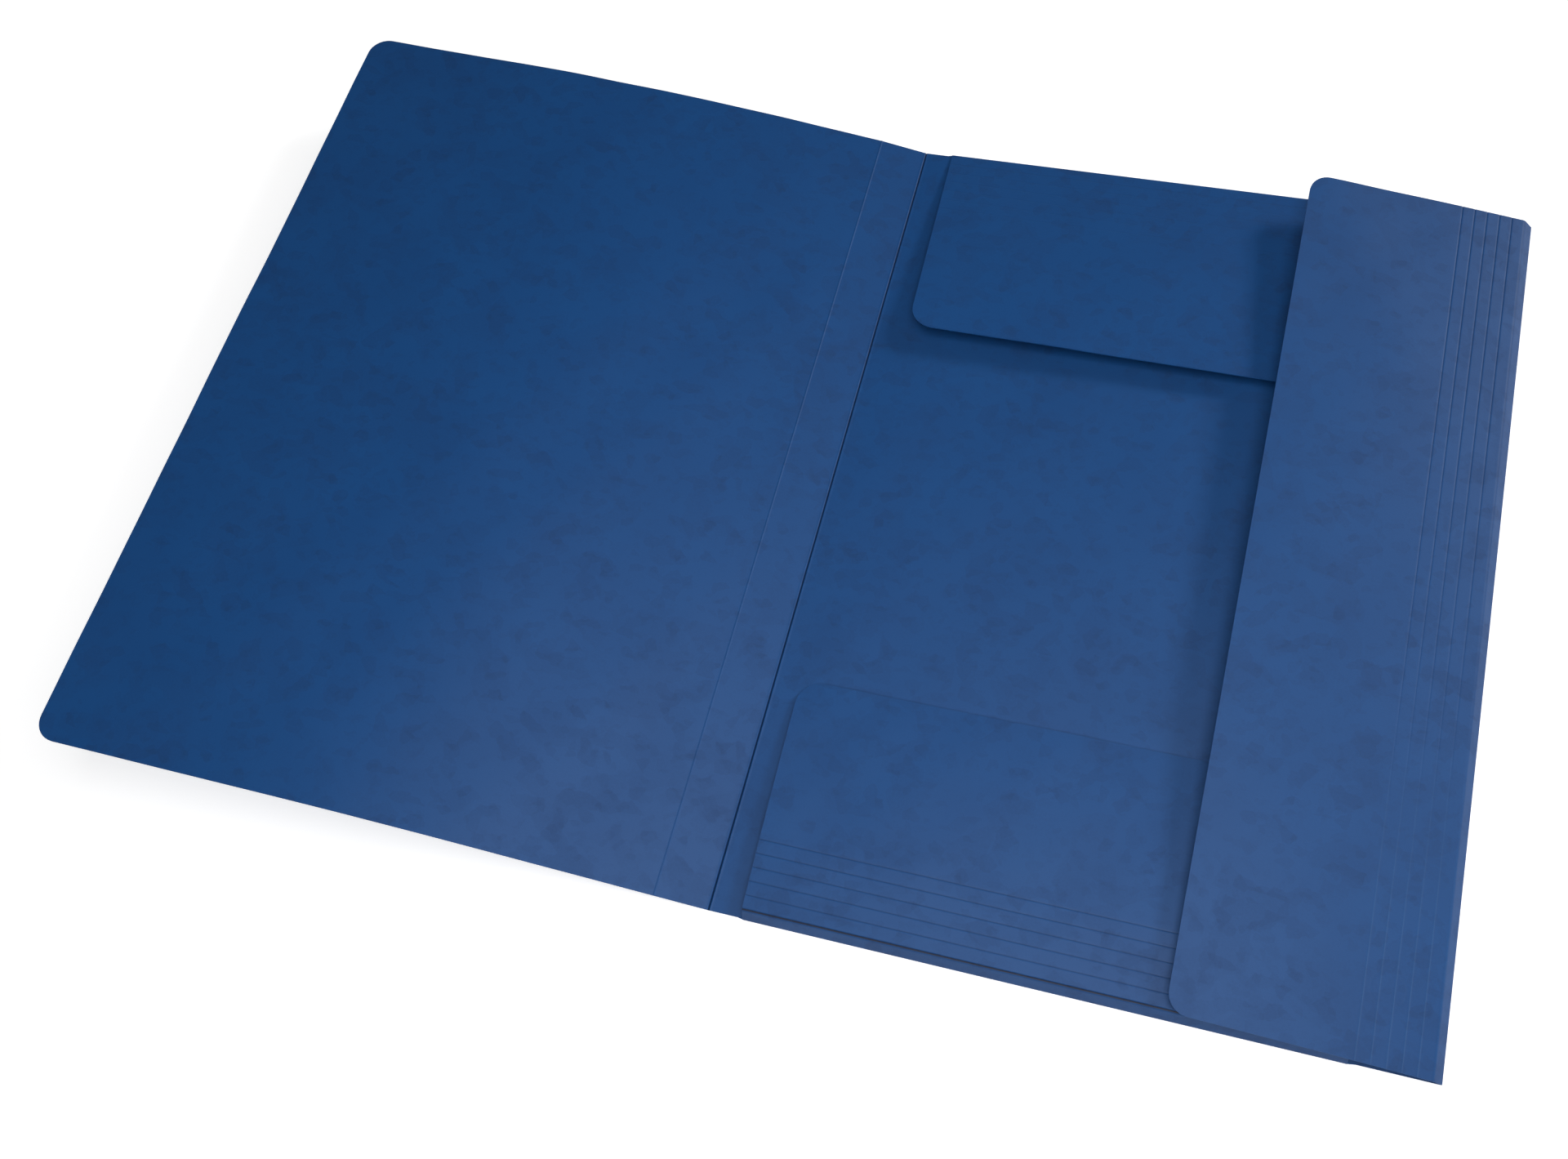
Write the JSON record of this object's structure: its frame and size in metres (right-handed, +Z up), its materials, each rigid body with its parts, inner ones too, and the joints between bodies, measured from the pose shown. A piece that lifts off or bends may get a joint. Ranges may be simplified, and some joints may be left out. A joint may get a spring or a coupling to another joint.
{
  "type": "elastic folder",
  "caption": "Document folder of glazed pressboard, lying open: a hinged cover and spine, and a back panel with scored flaps folded in to hold papers.",
  "frame": {"origin": "centre of the back panel's underside", "axes": "+X from the open cover across the back panel to the side flap, +Y along the spine towards the top flap, +Z up"},
  "size_m": [0.4822, 0.3209, 0.0408],
  "materials": {
    "pressboard": "glazed pressboard, mottled blue, semi-gloss",
    "eyelet_metal": "nickel-plated steel"
  },
  "bodies": {
    "back_panel": {"back_panel": "pressboard", "top_flap": "pressboard", "bottom_flap": "pressboard", "lower_eyelet": "eyelet_metal", "upper_eyelet": "eyelet_metal"},
    "spine": {"spine": "pressboard"},
    "front_cover": {"front_cover": "pressboard"},
    "side_flap": {"side_fold_strip": "pressboard", "side_flap": "pressboard"}
  },
  "joints": [
    {"name": "spine_crease", "type": "hinge", "parent": "back_panel", "child": "spine", "pos_m": [-0.12, 0, 0.0005], "axis": [0, 1, 0], "range_deg": [0, 76.4]},
    {"name": "cover_crease", "type": "hinge", "parent": "spine", "child": "front_cover", "pos_m": [-0.13867, 0, 0.00498], "axis": [0, 1, 0], "range_deg": [0, 95.5]},
    {"name": "side_fold", "type": "hinge", "parent": "back_panel", "child": "side_flap", "pos_m": [0.12, 0, 0.0005], "axis": [0, 1, 0], "range_deg": [0, 132]}
  ]
}
